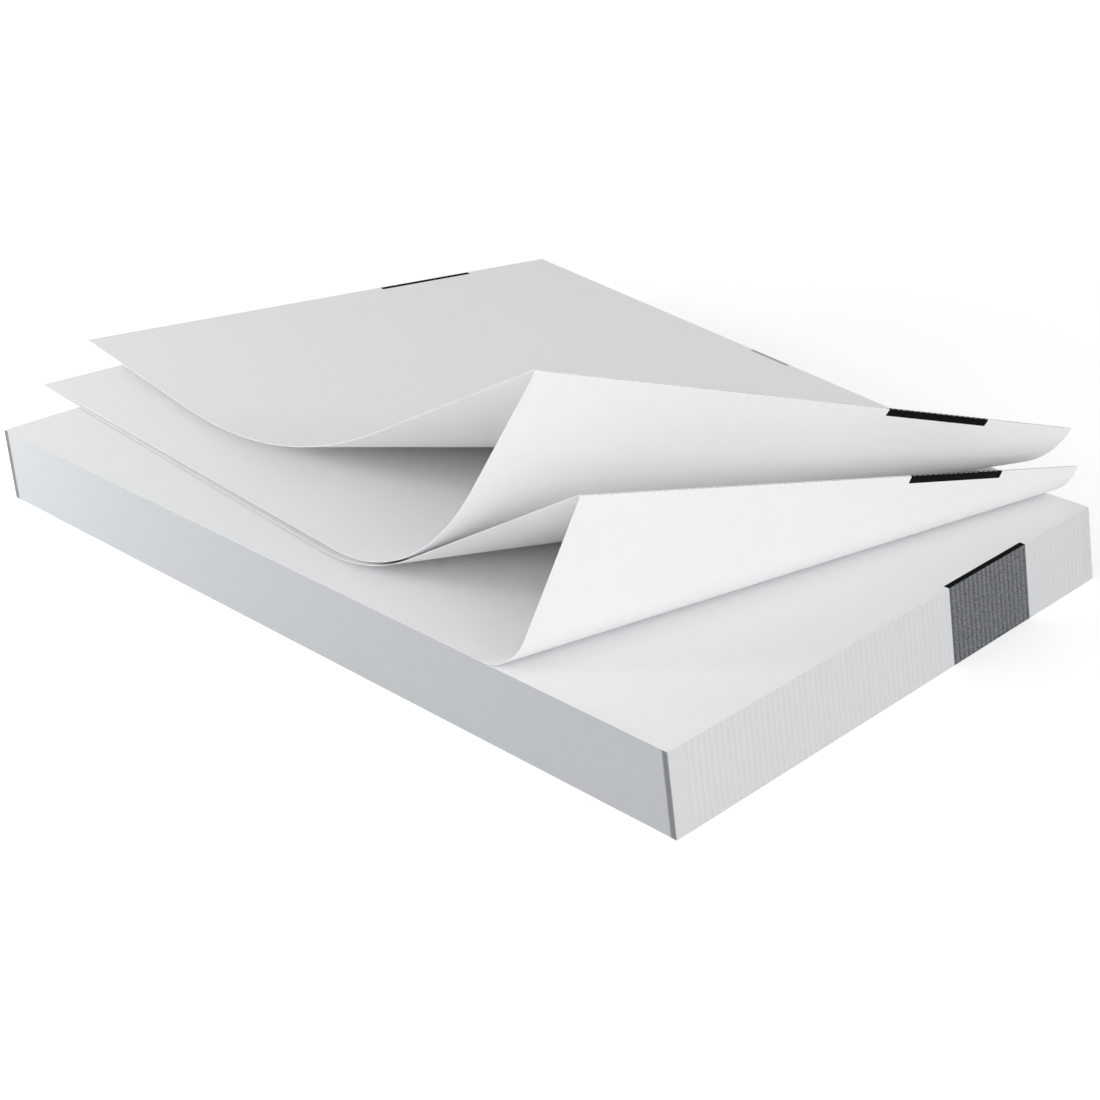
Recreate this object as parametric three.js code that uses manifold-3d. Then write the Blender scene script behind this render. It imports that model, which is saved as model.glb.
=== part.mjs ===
// Fanfold continuous form paper: a pressed pile of leaves joined at their
// folds, with the top four leaves of the strip fanned up off the pile.
// Millimetres, +Z up, origin at the middle of the pile's bottom face.
// X runs along the strip from fold to fold, Y along the folds.
import * as THREE from 'three';
import { mergeVertices } from 'three/addons/utils/BufferGeometryUtils.js';
import Module from 'manifold-3d';

const wasm = await Module();
wasm.setup();

// paper
const leafLength = 300;
const leafWidth = 210;
const paperThickness = 0.1;
const foldRadius = 0.4;

// pile
const leafCount = 300;
const pressedPitch = 0.077;
const pileLeanX = -5.8;
const pileLeanY = 1.6;
const cutFaceSpread = 0.15;

// perforation seen on the two fold faces
const perforationPitch = 2.4;
const slitWidth = 1.3;
const slitMouth = 1.7;
const slitDepth = 0.5;
const plainCorner = 6;

// fanned leaves, in order up the strip. Bend positions are shares of the
// leaf's length from the fold it starts at, along its near and far edges.
const bendSteps = 18;
const foldSteps = 6;
const fannedLeaves = [
  { near: [0.775, 0.847], far: [0.933, 0.993], bend: 76.7, opening: 43.3 },
  { near: [0.267, 0.418], far: [0.051, 0.089], bend: 35.1, opening: 0.6 },
  { near: [0.605, 0.86], far: [0.885, 0.993], bend: 69, opening: 37.5 },
  { near: [0.272, 0.72], far: [0.103, 0.142], bend: 33.6, opening: 0 },
];
const liftOffTab = 3;
const tabDepth = 0.01;

const pileHeight = leafCount * pressedPitch;

const radians = (degrees) => degrees * Math.PI / 180;

// outline of one fold face, walked from the near end to the far end
function foldFaceOutline() {
  const points = [[leafLength / 2, -leafWidth / 2 - cutFaceSpread]];
  const run = leafWidth - 2 * plainCorner;
  const slits = Math.floor(run / perforationPitch);
  const first = -slits * perforationPitch / 2 + perforationPitch / 2;
  for (let i = 0; i < slits; i += 1) {
    const middle = first + i * perforationPitch;
    points.push([leafLength / 2, middle - slitMouth / 2]);
    points.push([leafLength / 2 - slitDepth, middle - slitWidth / 2]);
    points.push([leafLength / 2 - slitDepth, middle + slitWidth / 2]);
    points.push([leafLength / 2, middle + slitMouth / 2]);
  }
  points.push([leafLength / 2, leafWidth / 2 + cutFaceSpread]);
  return points;
}

function pileGeometry() {
  const rightFace = foldFaceOutline();
  const leftFace = rightFace.map(([x, y]) => [-x, -y]);
  const outline = new THREE.Shape(
    [...rightFace, ...leftFace].map(([x, y]) => new THREE.Vector2(x, y)),
  );
  const pile = new THREE.ExtrudeGeometry(outline, { depth: pileHeight, bevelEnabled: false });
  const leanX = pileLeanX / pileHeight;
  const leanY = pileLeanY / pileHeight;
  pile.applyMatrix4(new THREE.Matrix4().makeShear(0, 0, 0, 0, leanX, leanY));
  return pile;
}

// turn about a line drawn across the flat strip
function turnAbout(near, far, angle) {
  const axis = far.clone().sub(near).normalize();
  const turn = new THREE.Matrix4().makeRotationAxis(axis, angle);
  const there = new THREE.Matrix4().makeTranslation(near.x, near.y, near.z);
  const back = new THREE.Matrix4().makeTranslation(-near.x, -near.y, -near.z);
  return there.multiply(turn).multiply(back);
}

// every crease of the strip as its place along the near and far edges of
// the flat strip and the angle it turns through, positive turning upwards
function creaseList() {
  const creases = [];
  fannedLeaves.forEach((leaf, index) => {
    const side = index % 2 === 0 ? 1 : -1;
    const start = index * leafLength;
    for (let i = 0; i < bendSteps; i += 1) {
      const share = (i + 0.5) / bendSteps;
      creases.push({
        near: start + leafLength * THREE.MathUtils.lerp(...leaf.near, share),
        far: start + leafLength * THREE.MathUtils.lerp(...leaf.far, share),
        angle: side * radians(leaf.bend) / bendSteps,
      });
    }
    if (index === fannedLeaves.length - 1) {
      return;
    }
    const foldAngle = radians(180 - leaf.opening);
    const foldArc = foldRadius * foldAngle;
    for (let i = 0; i < foldSteps; i += 1) {
      const place = start + leafLength + foldArc * ((i + 0.5) / foldSteps - 0.5);
      creases.push({ near: place, far: place, angle: side * foldAngle / foldSteps });
    }
  });
  return creases;
}

// the strip's middle surface as straight lines from its near edge to its
// far edge, each with the normals of the flat pieces before and after it
function stripLines() {
  const place = new THREE.Matrix4().makeTranslation(
    -leafLength / 2 + pileLeanX,
    -leafWidth / 2 + pileLeanY,
    pileHeight - paperThickness / 2 - tabDepth,
  );
  const normal = () => new THREE.Vector3(0, 0, 1).transformDirection(place);
  const lines = [];
  const addLine = (near, far, before) => {
    lines.push({
      near: near.clone().applyMatrix4(place),
      far: far.clone().applyMatrix4(place),
      before,
      after: normal(),
    });
  };
  const nearPoint = (along) => new THREE.Vector3(along, 0, 0);
  const farPoint = (along) => new THREE.Vector3(along, leafWidth, 0);
  const creases = creaseList();
  const first = creases[0];
  addLine(nearPoint(first.near - liftOffTab), farPoint(first.far - liftOffTab), normal());
  for (const crease of creases) {
    const near = nearPoint(crease.near);
    const far = farPoint(crease.far);
    const before = normal();
    place.multiply(turnAbout(near, far, -crease.angle));
    addLine(near, far, before);
  }
  const end = fannedLeaves.length * leafLength;
  addLine(nearPoint(end), farPoint(end), normal());
  return lines;
}

function stripGeometry() {
  const positions = [];
  for (const line of stripLines()) {
    const offset = line.before.clone().add(line.after).normalize();
    offset.multiplyScalar(paperThickness / 2 / offset.dot(line.after));
    for (const [point, way] of [[line.near, 1], [line.far, 1], [line.near, -1], [line.far, -1]]) {
      positions.push(...point.clone().addScaledVector(offset, way).toArray());
    }
  }
  const index = [];
  const quad = (a, b, c, d) => index.push(a, b, c, a, c, d);
  const count = positions.length / 12;
  for (let i = 0; i + 1 < count; i += 1) {
    const [topNear, topFar, lowNear, lowFar] = [4 * i, 4 * i + 1, 4 * i + 2, 4 * i + 3];
    quad(topNear, topNear + 4, topFar + 4, topFar);
    quad(lowNear, lowFar, lowFar + 4, lowNear + 4);
    quad(topNear, lowNear, lowNear + 4, topNear + 4);
    quad(topFar, topFar + 4, lowFar + 4, lowFar);
  }
  quad(0, 1, 3, 2);
  const last = 4 * (count - 1);
  quad(last, last + 2, last + 3, last + 1);
  const strip = new THREE.BufferGeometry();
  strip.setAttribute('position', new THREE.Float32BufferAttribute(positions, 3));
  strip.setIndex(index);
  return strip;
}

function toSolid(geometry) {
  geometry.deleteAttribute('normal');
  geometry.deleteAttribute('uv');
  const merged = mergeVertices(geometry, 1e-4);
  return new wasm.Manifold(new wasm.Mesh({
    numProp: 3,
    vertProperties: new Float32Array(merged.attributes.position.array),
    triVerts: new Uint32Array(merged.index.array),
  }));
}

function toGeometry(solid) {
  const mesh = solid.getMesh();
  const geometry = new THREE.BufferGeometry();
  geometry.setAttribute('position', new THREE.BufferAttribute(mesh.vertProperties, 3));
  geometry.setIndex(new THREE.BufferAttribute(mesh.triVerts, 1));
  geometry.computeVertexNormals();
  return geometry;
}

const whitePaper = new THREE.MeshStandardMaterial({ color: 0xf1f2f2, roughness: 0.85 });
whitePaper.name = 'paper';

const formStrip = new THREE.Mesh(
  toGeometry(toSolid(pileGeometry()).add(toSolid(stripGeometry()))),
  whitePaper,
);
formStrip.name = 'form_strip';

const fanfoldPaper = new THREE.Group();
fanfoldPaper.name = 'fanfold_paper';
fanfoldPaper.add(formStrip);

export default fanfoldPaper;
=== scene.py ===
import bpy
import math
import numpy as np
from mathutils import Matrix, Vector


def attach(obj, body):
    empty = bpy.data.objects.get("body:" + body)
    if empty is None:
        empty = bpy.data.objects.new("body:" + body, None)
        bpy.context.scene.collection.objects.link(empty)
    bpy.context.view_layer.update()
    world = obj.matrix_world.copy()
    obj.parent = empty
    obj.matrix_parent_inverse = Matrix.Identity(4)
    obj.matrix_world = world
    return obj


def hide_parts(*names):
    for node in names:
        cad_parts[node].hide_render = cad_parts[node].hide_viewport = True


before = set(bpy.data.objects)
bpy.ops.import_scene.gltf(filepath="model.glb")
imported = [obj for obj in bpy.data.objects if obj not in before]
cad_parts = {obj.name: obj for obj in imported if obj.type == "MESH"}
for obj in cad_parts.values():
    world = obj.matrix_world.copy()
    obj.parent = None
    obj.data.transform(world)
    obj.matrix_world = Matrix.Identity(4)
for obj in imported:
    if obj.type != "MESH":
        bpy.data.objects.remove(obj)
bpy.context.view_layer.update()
mm = 0.001


# small helpers for node trees
def addNode(tree, kind, **settings):
    node = tree.nodes.new(kind)
    for name, value in settings.items():
        setattr(node, name, value)
    return node


def feed(tree, socket, value):
    if isinstance(value, bpy.types.NodeSocket):
        tree.links.new(value, socket)
    else:
        socket.default_value = value


def calc(tree, operation, *values, kind="ShaderNodeMath"):
    node = addNode(tree, kind, operation=operation)
    for socket, value in zip(node.inputs, values):
        feed(tree, socket, value)
    return node.outputs[0]


def vectorCalc(tree, operation, *values):
    return calc(tree, operation, *values, kind="ShaderNodeVectorMath")


def product(tree, first, *others):
    for value in others:
        first = calc(tree, "MULTIPLY", first, value)
    return first


def between(tree, value, low, high):
    above = calc(tree, "GREATER_THAN", value, low)
    return product(tree, above, calc(tree, "LESS_THAN", value, high))


def mapRange(tree, value, low, high, start=0.0, end=1.0):
    # start to end becomes low to high
    node = addNode(tree, "ShaderNodeMapRange")
    for label, number in (("Value", value), ("From Min", start), ("From Max", end),
                          ("To Min", low), ("To Max", high)):
        feed(tree, node.inputs[label], number)
    return node.outputs["Result"]


def scaled(tree, colour, amount):
    result = vectorCalc(tree, "SCALE", colour)
    feed(tree, result.node.inputs["Scale"], amount)
    return result


def objectPlace(tree):
    return addNode(tree, "ShaderNodeTexCoord").outputs["Object"]


def noise(tree, place, scale, detail):
    node = addNode(tree, "ShaderNodeTexNoise")
    feed(tree, node.inputs["Vector"], place)
    node.inputs["Scale"].default_value = scale
    node.inputs["Detail"].default_value = detail
    return node.outputs["Fac"]


def parts(tree, vector):
    node = addNode(tree, "ShaderNodeSeparateXYZ")
    feed(tree, node.inputs[0], vector)
    return node.outputs


def joined(tree, *values):
    node = addNode(tree, "ShaderNodeCombineXYZ")
    for socket, value in zip(node.inputs, values):
        feed(tree, socket, value)
    return node.outputs[0]


def position(tree):
    return addNode(tree, "GeometryNodeInputPosition").outputs[0]


def storedValue(tree, name, kind):
    node = addNode(tree, "GeometryNodeInputNamedAttribute", data_type=kind)
    node.inputs["Name"].default_value = name
    return node.outputs[0]


def moved(tree, shape, **fields):
    node = addNode(tree, "GeometryNodeSetPosition")
    feed(tree, node.inputs["Geometry"], shape)
    for label, value in fields.items():
        feed(tree, node.inputs[label], value)
    return node.outputs[0]


def realized(tree, shape):
    node = addNode(tree, "GeometryNodeRealizeInstances")
    feed(tree, node.inputs[0], shape)
    return node.outputs[0]


def painted(tree, shape, material, where=True):
    node = addNode(tree, "GeometryNodeSetMaterial")
    feed(tree, node.inputs["Geometry"], shape)
    feed(tree, node.inputs["Selection"], where)
    feed(tree, node.inputs["Material"], material)
    return node.outputs[0]


def newTree(name, inputs):
    tree = bpy.data.node_groups.new(name, "GeometryNodeTree")
    face = tree.interface
    face.new_socket("Geometry", in_out="INPUT", socket_type="NodeSocketGeometry")
    for label, value in inputs.items():
        kind = "NodeSocketInt" if isinstance(value, int) else "NodeSocketFloat"
        if isinstance(value, bpy.types.Material):
            kind = "NodeSocketMaterial"
        socket = face.new_socket(label, in_out="INPUT", socket_type=kind)
        socket.default_value = value
    face.new_socket("Geometry", in_out="OUTPUT", socket_type="NodeSocketGeometry")
    return tree, addNode(tree, "NodeGroupInput").outputs, addNode(tree, "NodeGroupOutput").inputs


def applyTree(obj, tree, values):
    modifier = obj.modifiers.new(tree.name, "NODES")
    modifier.node_group = tree
    for item in tree.interface.items_tree:
        if item.in_out == "INPUT" and item.name in values:
            modifier[item.identifier] = values[item.name]
    bakeModifiers(obj)


def bakeModifiers(obj):
    seen = obj.evaluated_get(bpy.context.evaluated_depsgraph_get())
    plain = bpy.data.meshes.new_from_object(seen)
    old = obj.data
    obj.modifiers.clear()
    obj.data = plain
    plain.name = obj.name
    bpy.data.meshes.remove(old)


def newObject(name, points, faces, uvs=None):
    mesh = bpy.data.meshes.new(name)
    mesh.from_pydata([tuple(p) for p in points], [], [tuple(f) for f in faces])
    if uvs is not None:
        layer = mesh.uv_layers.new(name="sheetMap")
        corners = np.empty(len(mesh.loops), dtype=np.int32)
        mesh.loops.foreach_get("vertex_index", corners)
        layer.data.foreach_set("uv", np.asarray(uvs, dtype=np.float32)[corners].ravel())
    mesh.update()
    obj = bpy.data.objects.new(name, mesh)
    bpy.context.scene.collection.objects.link(obj)
    return obj


print("stage: sizes")
leaf = {
    "length": 300 * mm,      # fold to fold
    "width": 210 * mm,       # along the folds
    "thickness": 0.1 * mm,
    "foldRadius": 0.4 * mm,
}
pile = {
    "height": 23.1 * mm,
    "leanX": -5.8 * mm,
    "leanY": 1.6 * mm,
    "spread": 0.15 * mm,     # cut faces stand this far outside one leaf's edge
    "loops": 140,
}
slits = {"pitch": 2.386 * mm, "depth": 0.45 * mm, "cut": 1.7 * mm, "plainCorner": 6 * mm}
paper = {
    "page": (0.935, 0.942, 0.95),
    # painted shade: the pile's fold faces and cut faces get darker copies of the page tone, so each
    # side reads as it is lit
    "shadedFoldLoops": (0.71, 0.72, 0.73),
    "shadedCutEdges": (0.48, 0.5, 0.515),       # cut edge on, paper is darker than on its face; the rest of this darkening is painted shade
    "cloudScale": 260, "cloudDetail": 5,
    "cloudTone": (0.975, 1.025),
    "toothScale": 2600, "toothDetail": 3,
    "roughness": (0.62, 0.82),
    "toothBump": 0.12, "toothDepth": 0.02 * mm,
    "shine": 0.25, "inkShine": 0.03,
}
marks = {
    "from": 0.612, "to": 0.815, "reach": 2.6 * mm,   # printed bars across the folds
    "pileReach": 1.9 * mm,                           # on the pile's own top leaf
    "black": (0.003, 0.01), "pinholes": 1500, "pinholeSpread": (0.35, 0.7),
    "dash": (3.455, 3.525),                          # in leaves along the strip
    "dashEdge": 0.992, "dashGrey": 0.5,
}
stackedBars = {
    "slit": 0.145, "tie": 0.215,     # grey in the slit columns, darker there as painted shade, and between them
    "slitFade": (0.08, 0.34),        # in slit pitches
    "wear": (0.6, 1.4), "wearSpread": (0.3, 0.7),
    "wearScale": 900, "wearStretch": (1, 1.5, 3),
    "topBar": 0.004, "topDepth": 0.05 * mm,
    "tint": (0.94, 1.0, 1.06),
}
# painted shade: the grey laid on the cut faces in from each fold, where the loops' open ends lie
loopEndShade = {"from": 1.9 * mm, "to": 0.1 * mm, "grey": (0.44, 0.45, 0.46, 1)}   # in from the fold


# paper and ink
def paperMaterial(name, printed=None, tint=paper["page"]):
    material = bpy.data.materials.new(name)
    material.use_nodes = True
    tree = material.node_tree
    tree.nodes.clear()
    out = addNode(tree, "ShaderNodeOutputMaterial")
    body = addNode(tree, "ShaderNodeBsdfPrincipled")
    tree.links.new(body.outputs[0], out.inputs["Surface"])
    place = objectPlace(tree)

    # cloudy fibre formation and fine tooth
    clouds = noise(tree, place, paper["cloudScale"], paper["cloudDetail"])
    tooth = noise(tree, place, paper["toothScale"], paper["toothDetail"])
    colour = scaled(tree, tint, mapRange(tree, clouds, *paper["cloudTone"]))
    if printed is None:
        body.inputs["Specular IOR Level"].default_value = paper["shine"]
    else:
        mask, ink = printed(tree)
        dulling = paper["inkShine"] - paper["shine"]
        shine = calc(tree, "MULTIPLY_ADD", mask, dulling, paper["shine"])
        feed(tree, body.inputs["Specular IOR Level"], shine)
        mixer = addNode(tree, "ShaderNodeMix", data_type="RGBA")
        feed(tree, mixer.inputs["Factor"], mask)
        feed(tree, mixer.inputs[6], colour)
        feed(tree, mixer.inputs[7], ink)
        colour = mixer.outputs[2]
    feed(tree, body.inputs["Base Color"], colour)
    feed(tree, body.inputs["Roughness"], mapRange(tree, tooth, *paper["roughness"]))
    bump = addNode(tree, "ShaderNodeBump")
    bump.inputs["Strength"].default_value = paper["toothBump"]
    bump.inputs["Distance"].default_value = paper["toothDepth"]
    feed(tree, bump.inputs["Height"], tooth)
    feed(tree, body.inputs["Normal"], bump.outputs["Normal"])
    return material


def foldMarks(tree):
    # bars that lie across every fold of the strip, found from its flat map
    flat = addNode(tree, "ShaderNodeUVMap", uv_map="sheetMap").outputs["UV"]
    along, across, _ = parts(tree, flat)
    toFold = calc(tree, "PINGPONG", along, 0.5)
    near = calc(tree, "LESS_THAN", toFold, marks["reach"] / leaf["length"])
    notFirst = calc(tree, "GREATER_THAN", along, 0.5)
    bars = product(tree, near, between(tree, across, marks["from"], marks["to"]), notFirst)

    # and one faint grey dash on the top leaf's far cut edge
    atEdge = calc(tree, "GREATER_THAN", across, marks["dashEdge"])
    dash = product(tree, between(tree, along, *marks["dash"]), atEdge)

    # printed black with a little pinholing
    spots = noise(tree, objectPlace(tree), marks["pinholes"], 2)
    black = mapRange(tree, spots, *marks["black"], *marks["pinholeSpread"])
    ink = calc(tree, "MULTIPLY_ADD", dash, marks["dashGrey"], black)
    return calc(tree, "MAXIMUM", bars, dash), ink


def pilePlace(tree):
    # object coordinates with the pile's lean taken out
    x, y, z = parts(tree, objectPlace(tree))
    x = calc(tree, "SUBTRACT", x, product(tree, z, pile["leanX"] / pile["height"]))
    y = calc(tree, "SUBTRACT", y, product(tree, z, pile["leanY"] / pile["height"]))
    return x, y, z


def pileMarks(tree):
    # the same bars seen edge on, down the right fold face, and the top one's flat part
    x, y, z = pilePlace(tree)
    low, high = [(marks[end] - 0.5) * leaf["width"] for end in ("from", "to")]
    atFold = calc(tree, "GREATER_THAN", x, leaf["length"] / 2 - marks["pileReach"])
    onTop = calc(tree, "GREATER_THAN", z, pile["height"] - stackedBars["topDepth"])

    # painted shade: a darker grey in the pressed-in slit columns, which stand a third of a pitch
    # off, and a lighter one between them
    turns = calc(tree, "SUBTRACT", calc(tree, "DIVIDE", y, slits["pitch"]), 1 / 3)
    toSlit = calc(tree, "PINGPONG", turns, 0.5)
    grey = mapRange(tree, toSlit, stackedBars["slit"], stackedBars["tie"], *stackedBars["slitFade"])

    # wear: each loop's crown shows pale fibres, so the stacked bars read grey
    stretched = addNode(tree, "ShaderNodeMapping")
    feed(tree, stretched.inputs["Vector"], objectPlace(tree))
    stretched.inputs["Scale"].default_value = stackedBars["wearStretch"]
    rows = noise(tree, stretched.outputs[0], stackedBars["wearScale"], 2)
    worn = mapRange(tree, rows, *stackedBars["wear"], *stackedBars["wearSpread"])
    grey = product(tree, worn, grey)
    tone = addNode(tree, "ShaderNodeMix", data_type="FLOAT")
    feed(tree, tone.inputs["Factor"], onTop)
    feed(tree, tone.inputs[2], grey)
    feed(tree, tone.inputs[3], stackedBars["topBar"])
    ink = scaled(tree, stackedBars["tint"], tone.outputs[0])
    return product(tree, between(tree, y, low, high), atFold), ink


def paintedLoopEndShade(tree):
    # painted shade: the cut faces are greyed beside each upright corner, where the open ends of the
    # fold loops lie in their own shade
    outward = calc(tree, "ABSOLUTE", pilePlace(tree)[0])
    low, high = [leaf["length"] / 2 - loopEndShade[end] for end in ("from", "to")]
    return between(tree, outward, low, high), loopEndShade["grey"]


print("stage: materials")
plainPaper = paperMaterial("plainPaper")
markedPaper = paperMaterial("markedPaper", foldMarks)
pressedPaper = paperMaterial("pressedPaper", pileMarks)
# the fold face and cut face materials carry painted shade in their darker tones
shadedFoldLoops = paperMaterial("shadedFoldLoops", pileMarks, paper["shadedFoldLoops"])
leafEdges = paperMaterial("leafEdges", paintedLoopEndShade, paper["shadedCutEdges"])


# the pressed pile: a block of fine rows, one for each folded pair of leaves
def pileStations():
    pitches = round(leaf["width"] / slits["pitch"])
    columns = np.linspace(-0.5, 0.5, 3 * pitches + 1) * (leaf["width"] + 2 * pile["spread"])
    half = leaf["length"] / 2
    ends = np.array([0, 0.45, 1.5, 2.2]) * mm       # close stations at the fold loops
    middle = half - 25 * mm
    across = np.concatenate([-half + ends, np.linspace(-middle, middle, 11), half - ends[::-1]])
    rows = np.linspace(0, pile["height"], pile["loops"] + 1)
    return across, columns, rows


def boxGrid(xs, ys, zs):
    # closed box of quads with the given stations on each axis
    shape = (len(xs), len(ys), len(zs))
    index = -np.ones(shape, dtype=np.int64)
    shell = np.zeros(shape, dtype=bool)
    shell[0], shell[-1] = True, True
    shell[:, 0], shell[:, -1] = True, True
    shell[:, :, 0], shell[:, :, -1] = True, True
    index[shell] = np.arange(shell.sum())
    gx, gy, gz = np.meshgrid(xs, ys, zs, indexing="ij")
    points = np.stack([gx[shell], gy[shell], gz[shell]], axis=1)
    faces = []

    def sheetFaces(grid, flip):
        a, b = grid[:-1, :-1].ravel(), grid[1:, :-1].ravel()
        c, d = grid[1:, 1:].ravel(), grid[:-1, 1:].ravel()
        faces.append(np.stack([a, d, c, b] if flip else [a, b, c, d], axis=1))

    sheetFaces(index[:, :, 0], True)
    sheetFaces(index[:, :, -1], False)
    sheetFaces(index[:, 0, :], False)
    sheetFaces(index[:, -1, :], True)
    sheetFaces(index[0, :, :], True)
    sheetFaces(index[-1, :, :], False)
    # page, cut face, fold face
    side = np.repeat([0, 0, 1, 1, 2, 2], [len(some) for some in faces])
    return points, np.concatenate(faces), side


press = {
    "Length": leaf["length"], "Width": leaf["width"], "Height": pile["height"],
    "Lean X": pile["leanX"], "Lean Y": pile["leanY"], "Loops": pile["loops"],
    "Slit Pitch": slits["pitch"], "Slit Depth": slits["depth"],
    "Plain Corner": slits["plainCorner"],
    "Loop Band": 1.8 * mm, "Loop Hollow": 0.9 * mm, "Ragged": 0.015 * mm, "Seed": 4,
    "Paper": pressedPaper, "Cut Edges": leafEdges, "Fold Loops": shadedFoldLoops,
}


def pressTree():
    tree, given, result = newTree("pressPile", press)
    x, y, z = parts(tree, position(tree))
    half = product(tree, given["Length"], 0.5)
    halfWidth = product(tree, given["Width"], 0.5)
    farOut = calc(tree, "ABSOLUTE", x)
    onFold = calc(tree, "GREATER_THAN", farOut, calc(tree, "SUBTRACT", half, 0.02 * mm))

    # slits: every third column along the fold is pressed in
    thirds = product(tree, calc(tree, "DIVIDE", y, given["Slit Pitch"]), 3.0)
    column = calc(tree, "FLOORED_MODULO", calc(tree, "ROUND", thirds), 3.0)
    inSlit = calc(tree, "COMPARE", column, 1.0, 0.2)
    clear = calc(tree, "SUBTRACT", halfWidth, given["Plain Corner"])
    inRun = calc(tree, "LESS_THAN", calc(tree, "ABSOLUTE", y), clear)

    # the outer leaves keep a straight fold
    rowPitch = calc(tree, "DIVIDE", given["Height"], given["Loops"])
    row = calc(tree, "ROUND", calc(tree, "DIVIDE", z, rowPitch))
    notEnd = between(tree, row, 0.5, calc(tree, "SUBTRACT", given["Loops"], 0.5))
    inward = product(tree, inSlit, inRun, given["Slit Depth"], notEnd)

    # each row stands a little in or out
    loose = addNode(tree, "FunctionNodeRandomValue", data_type="FLOAT")
    feed(tree, loose.inputs[2], 0.0)
    feed(tree, loose.inputs[3], 1.0)
    feed(tree, loose.inputs["ID"], row)
    feed(tree, loose.inputs["Seed"], given["Seed"])
    ragged = product(tree, loose.outputs[1], given["Ragged"])
    pressIn = product(tree, calc(tree, "ADD", inward, ragged), onFold)
    shiftX = product(tree, pressIn, calc(tree, "SIGN", x), -1.0)

    # open ends of the fold loops on the two cut faces
    band = calc(tree, "SUBTRACT", half, given["Loop Band"])
    inBand = between(tree, farOut, band, calc(tree, "SUBTRACT", half, 0.2 * mm))
    odd = calc(tree, "FLOORED_MODULO", row, 2.0)
    hollow = product(tree, inBand, odd, notEnd, given["Loop Hollow"])
    onCut = calc(tree, "GREATER_THAN", calc(tree, "ABSOLUTE", y), halfWidth)
    sink = product(tree, calc(tree, "ADD", hollow, ragged), onCut)
    shiftY = product(tree, sink, calc(tree, "SIGN", y), -1.0)

    # lean
    rise = calc(tree, "DIVIDE", z, given["Height"])
    leanX = calc(tree, "ADD", shiftX, product(tree, rise, given["Lean X"]))
    leanY = calc(tree, "ADD", shiftY, product(tree, rise, given["Lean Y"]))
    shape = moved(tree, given["Geometry"], Offset=joined(tree, leanX, leanY))
    shape = painted(tree, realized(tree, shape), given["Paper"])
    side = storedValue(tree, "side", "INT")
    for label, number in (("Cut Edges", 1), ("Fold Loops", 2)):
        where = calc(tree, "COMPARE", side, number, 0.1)
        shape = painted(tree, shape, given[label], where)
    feed(tree, result[0], shape)
    return tree


print("stage: pile")
pilePoints, pileFaces, pileSides = boxGrid(*pileStations())
pressedPile = newObject("pressedPile", pilePoints, pileFaces)
sideOf = pressedPile.data.attributes.new("side", "INT", "FACE")
sideOf.data.foreach_set("value", pileSides.astype(np.int32))
applyTree(pressedPile, pressTree(), press)


# the fanned strip, cut flat along its creases and then bent leaf by leaf
fan = {
    "steps": 30,
    "foldSteps": 6,
    "tab": 3 * mm,           # runs on under the pile's top before the lift-off
    "tabDepth": 0.01 * mm,
    # shares of each leaf's length along its near and far edges, and degrees
    "leaves": [
        {"near": (0.775, 0.847), "far": (0.933, 0.993), "bend": 76.7, "opening": 43.3},
        {"near": (0.267, 0.418), "far": (0.051, 0.089), "bend": 35.1, "opening": 0.6},
        {"near": (0.605, 0.86), "far": (0.885, 0.993), "bend": 69.0, "opening": 37.5},
        {"near": (0.272, 0.72), "far": (0.103, 0.142), "bend": 33.6, "opening": 0.0},
    ],
}
liftOff = {
    "Lift X": -leaf["length"] / 2 + pile["leanX"],
    "Lift Y": -leaf["width"] / 2 + pile["leanY"],
    "Lift Z": pile["height"] - leaf["thickness"] / 2 - fan["tabDepth"],
    "Paper": plainPaper,
}


def bendZones():
    # each zone is where the strip starts and stops bending, near and far, and by how much
    zones = []

    def addZone(near, far, degrees, steps):
        zones.append({"near": near, "far": far, "turn": math.radians(degrees), "steps": steps})

    for number, one in enumerate(fan["leaves"]):
        side = 1 if number % 2 == 0 else -1
        start = number * leaf["length"]
        near = [start + share * leaf["length"] for share in one["near"]]
        far = [start + share * leaf["length"] for share in one["far"]]
        addZone(near, far, side * one["bend"], fan["steps"])
        if number + 1 < len(fan["leaves"]):
            turn = 180 - one["opening"]
            arc = leaf["foldRadius"] * math.radians(turn) / 2
            place = start + leaf["length"]
            edges = [place - arc, place + arc]
            addZone(edges, edges, side * turn, fan["foldSteps"])
    return zones


def creaseStations(zones):
    first = zones[0]
    lines = [(first["near"][0] - fan["tab"], first["far"][0] - fan["tab"], False)]
    for zone in zones:
        isFold = zone["steps"] == fan["foldSteps"]
        share = (np.arange(zone["steps"]) + 0.5) / zone["steps"]
        near = zone["near"][0] + share * (zone["near"][1] - zone["near"][0])
        far = zone["far"][0] + share * (zone["far"][1] - zone["far"][0])
        lines += [(n, f, isFold) for n, f in zip(near, far)]
    end = len(fan["leaves"]) * leaf["length"]
    lines.append((end, end, False))
    return lines


def openRow(i, lines):
    # only the middle of a fold's arc is cut through
    start = i
    while start > 0 and lines[start - 1][2]:
        start -= 1
    return i - start == fan["foldSteps"] // 2 - 1


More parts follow.
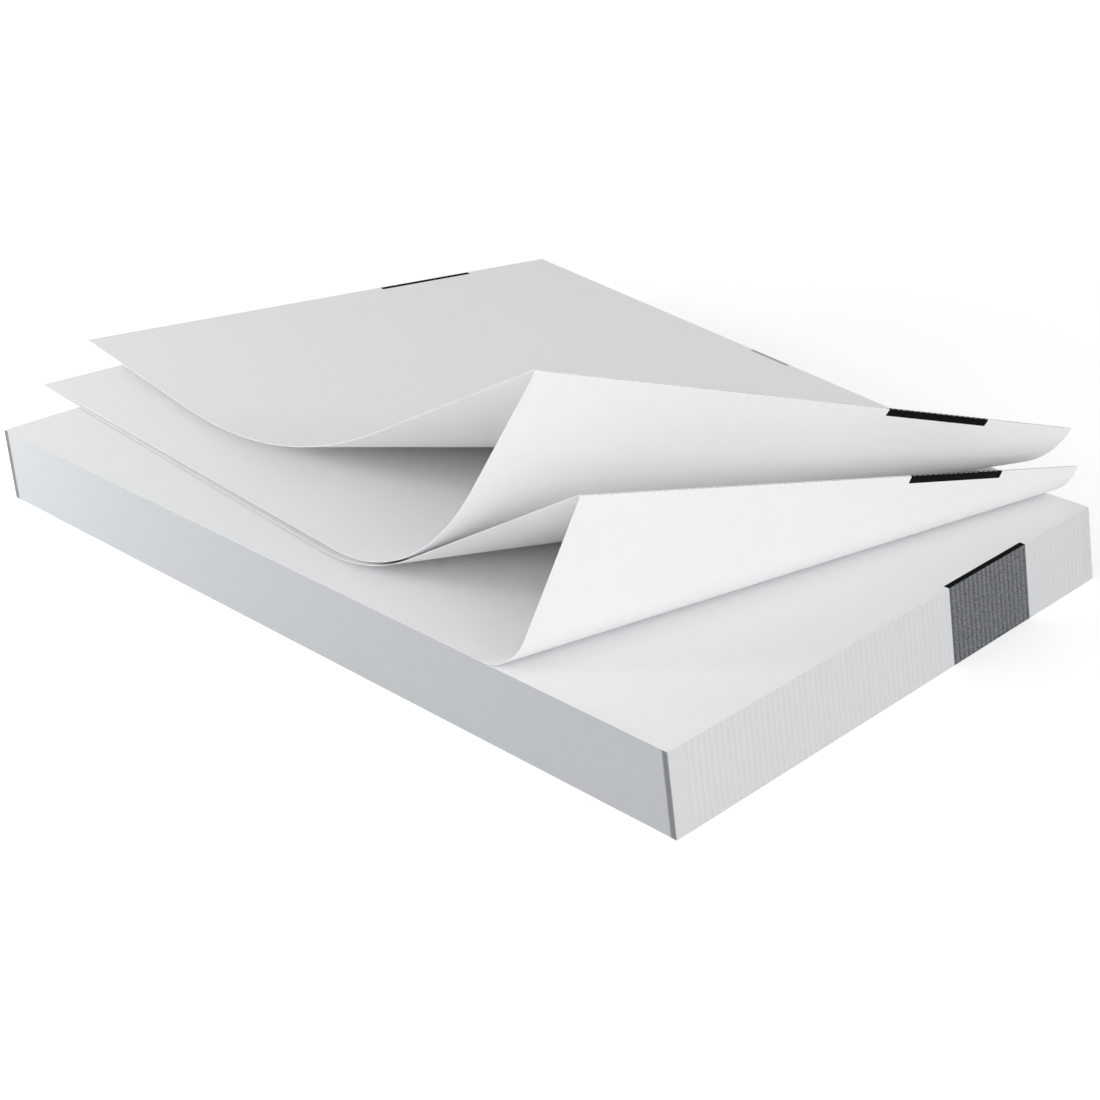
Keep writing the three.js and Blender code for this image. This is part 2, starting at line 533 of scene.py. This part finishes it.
def flatStrip(zones):
    lines = creaseStations(zones)
    pitches = round(leaf["width"] / slits["pitch"])
    middles = (np.arange(pitches) + 0.5) * leaf["width"] / pitches
    cuts = np.stack([middles - slits["cut"] / 2, middles + slits["cut"] / 2], axis=1).ravel()
    across = np.concatenate([[0], cuts, [leaf["width"]]])
    near = np.array([line[0] for line in lines])
    far = np.array([line[1] for line in lines])
    share = across / leaf["width"]
    count = len(across)
    points = np.zeros((len(lines), count, 3))
    points[:, :, 0] = near[:, None] + (far - near)[:, None] * share[None, :]
    points[:, :, 1] = across[None, :]
    index = np.arange(len(lines) * count).reshape(len(lines), count)
    faces = []
    for i in range(len(lines) - 1):
        openHere = lines[i][2] and lines[i + 1][2] and openRow(i, lines)
        for j in range(count - 1):
            if openHere and j % 2 == 1:
                continue
            faces.append((index[i, j], index[i + 1, j], index[i + 1, j + 1], index[i, j + 1]))
    flat = points.reshape(-1, 3)
    uvs = np.stack([flat[:, 0] / leaf["length"], flat[:, 1] / leaf["width"]], axis=1)
    return flat, faces, uvs


def bendGroup():
    tree, given, result = newTree("bendLeaf", {
        "Near From": 0.0, "Near To": 0.0, "Far From": 0.0, "Far To": 0.0,
        "Turn": 0.0, "Steps": 1, "Width": leaf["width"],
    })
    start = addNode(tree, "GeometryNodeRepeatInput")
    stop = addNode(tree, "GeometryNodeRepeatOutput")
    start.pair_with_output(stop)
    feed(tree, start.inputs["Iterations"], given["Steps"])
    feed(tree, start.inputs["Geometry"], given["Geometry"])

    # last crease first, so that every crease still lies flat when it is folded
    left = calc(tree, "SUBTRACT", given["Steps"], start.outputs["Iteration"])
    share = calc(tree, "DIVIDE", calc(tree, "SUBTRACT", left, 0.5), given["Steps"])

    def along(low, high):
        span = calc(tree, "SUBTRACT", given[high], given[low])
        return calc(tree, "MULTIPLY_ADD", span, share, given[low])

    near, far = along("Near From", "Near To"), along("Far From", "Far To")
    skew = calc(tree, "SUBTRACT", far, near)
    flatX, flatY, _ = parts(tree, storedValue(tree, "flatPlace", "FLOAT_VECTOR"))
    part = calc(tree, "DIVIDE", flatY, given["Width"])
    crease = calc(tree, "MULTIPLY_ADD", skew, part, near)
    beyond = calc(tree, "GREATER_THAN", flatX, calc(tree, "ADD", crease, 0.002 * mm))
    turn = addNode(tree, "ShaderNodeVectorRotate", rotation_type="AXIS_ANGLE")
    feed(tree, turn.inputs["Vector"], position(tree))
    feed(tree, turn.inputs["Center"], joined(tree, near))
    feed(tree, turn.inputs["Axis"], joined(tree, skew, given["Width"]))
    step = calc(tree, "DIVIDE", given["Turn"], given["Steps"])
    feed(tree, turn.inputs["Angle"], product(tree, step, -1.0))
    bent = moved(tree, start.outputs["Geometry"], Selection=beyond, Position=turn.outputs[0])
    feed(tree, stop.inputs["Geometry"], bent)
    feed(tree, result[0], stop.outputs["Geometry"])
    return tree


def fanTree(zones):
    bend = bendGroup()
    tree, given, result = newTree("fanStrip", liftOff)
    keep = addNode(tree, "GeometryNodeStoreNamedAttribute", data_type="FLOAT_VECTOR", domain="POINT")
    keep.inputs["Name"].default_value = "flatPlace"
    feed(tree, keep.inputs["Geometry"], given["Geometry"])
    feed(tree, keep.inputs["Value"], position(tree))
    shape = keep.outputs[0]
    for zone in reversed(zones):
        group = addNode(tree, "GeometryNodeGroup", node_tree=bend)
        feed(tree, group.inputs["Geometry"], shape)
        for edge in ("Near", "Far"):
            first, last = zone[edge.lower()]
            group.inputs[edge + " From"].default_value = first
            group.inputs[edge + " To"].default_value = last
        group.inputs["Turn"].default_value = zone["turn"]
        group.inputs["Steps"].default_value = zone["steps"]
        shape = group.outputs[0]
    lift = joined(tree, given["Lift X"], given["Lift Y"], given["Lift Z"])
    shape = realized(tree, moved(tree, shape, Offset=lift))
    feed(tree, result[0], painted(tree, shape, given["Paper"]))
    return tree


print("stage: fanned strip")
zones = bendZones()
fannedStrip = newObject("fannedStrip", *flatStrip(zones))
applyTree(fannedStrip, fanTree(zones), liftOff)
fannedStrip.data.materials.append(markedPaper)
solid = fannedStrip.modifiers.new("thickness", "SOLIDIFY")
solid.thickness = leaf["thickness"]
solid.offset = 0
solid.use_even_offset = True
solid.material_offset = 1        # the sheet's other side carries the print
solid.material_offset_rim = 0
bakeModifiers(fannedStrip)

for piece in (pressedPile, fannedStrip):
    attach(piece, "root")
    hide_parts("form_strip")

print("stage: floor, light and camera")
studio = {
    "floorSize": 6.0,
    "floorTone": (0.9, 0.9, 0.9, 1),
    "floorLift": (0.38, 0.6),   # added for the camera alone, so the plain floor reads white
    "liftRange": (0.28, 0.9),   # metres from the middle of the pile
    "skyStrength": 0.545,
    "lampAim": (0, 0, 0.03),
    "lamps": {
        "rightLamp": {"place": (1.1, -0.25, 0.45), "power": 3.5, "across": 0.9},
        "cornerLamp": {"place": (-0.45, -0.34, 0.07), "power": 1.6, "across": 0.2},
        "leftLamp": {"place": (-0.58, -1.0, 0.47), "power": 2.2, "across": 0.22},
        "frontLamp": {"place": (0.75, -0.85, 0.5), "power": 1.4, "across": 0.6},
    },
    "lens": 64.47, "sensor": 36,
    "cameraPlace": (0.41140, -0.43567, 0.28585),
    "cameraTurn": (64.1014, -0.8076, 43.3027),   # degrees
}


def cameraSees(tree, seen, other):
    path = addNode(tree, "ShaderNodeLightPath").outputs
    direct = calc(tree, "MAXIMUM", path["Is Camera Ray"], path["Is Glossy Ray"])
    direct = calc(tree, "MAXIMUM", direct, path["Is Transmission Ray"])
    mixer = addNode(tree, "ShaderNodeMixShader")
    feed(tree, mixer.inputs[0], direct)
    tree.links.new(other, mixer.inputs[1])
    tree.links.new(seen, mixer.inputs[2])
    return mixer.outputs[0]


def backdropMaterial():
    # a plain pale floor that the camera sees lifted to white, with the shadow kept
    material = bpy.data.materials.new("backdrop")
    material.use_nodes = True
    tree = material.node_tree
    tree.nodes.clear()
    out = addNode(tree, "ShaderNodeOutputMaterial")
    matt = addNode(tree, "ShaderNodeBsdfDiffuse")
    matt.inputs["Color"].default_value = studio["floorTone"]
    lift = addNode(tree, "ShaderNodeEmission")
    away = vectorCalc(tree, "LENGTH", objectPlace(tree)).node.outputs["Value"]
    strength = mapRange(tree, away, *studio["floorLift"], *studio["liftRange"])
    feed(tree, lift.inputs["Strength"], strength)
    both = addNode(tree, "ShaderNodeAddShader")
    tree.links.new(matt.outputs[0], both.inputs[0])
    tree.links.new(lift.outputs[0], both.inputs[1])
    tree.links.new(cameraSees(tree, both.outputs[0], matt.outputs[0]), out.inputs["Surface"])
    return material


size = studio["floorSize"]
floorCorners = [(-size, -size, 0), (size, -size, 0), (size, size, 0), (-size, size, 0)]
floor = newObject("floor", floorCorners, [(0, 1, 2, 3)])
floor.data.materials.append(backdropMaterial())

world = bpy.data.worlds.new("studio")
bpy.context.scene.world = world
world.use_nodes = True
sky = world.node_tree
sky.nodes.clear()
glow = addNode(sky, "ShaderNodeBackground")
glow.inputs["Strength"].default_value = studio["skyStrength"]
white = addNode(sky, "ShaderNodeBackground")
for shade in (glow, white):
    shade.inputs["Color"].default_value = (1, 1, 1, 1)
skyOut = addNode(sky, "ShaderNodeOutputWorld")
sky.links.new(cameraSees(sky, white.outputs[0], glow.outputs[0]), skyOut.inputs["Surface"])


def softLamp(name, place, power, across):
    lamp = bpy.data.lights.new(name, "AREA")
    lamp.energy = power
    lamp.shape = "DISK"
    lamp.size = across
    obj = bpy.data.objects.new(name, lamp)
    obj.location = place
    aim = Vector(studio["lampAim"]) - Vector(place)
    obj.rotation_euler = aim.to_track_quat("-Z", "Y").to_euler()
    obj.visible_camera = False
    bpy.context.scene.collection.objects.link(obj)


for name, lamp in studio["lamps"].items():
    softLamp(name, **lamp)

camera = bpy.data.cameras.new("photoCamera")
camera.lens = studio["lens"]
camera.sensor_width = studio["sensor"]
cameraObject = bpy.data.objects.new("photoCamera", camera)
cameraObject.location = studio["cameraPlace"]
cameraObject.rotation_euler = [math.radians(angle) for angle in studio["cameraTurn"]]
bpy.context.scene.collection.objects.link(cameraObject)
bpy.context.scene.camera = cameraObject
bpy.context.scene.view_settings.view_transform = "Standard"

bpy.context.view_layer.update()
for piece in (pressedPile, fannedStrip):
    piece.data.calc_loop_triangles()
    print(piece.name, len(piece.data.loop_triangles), "triangles")
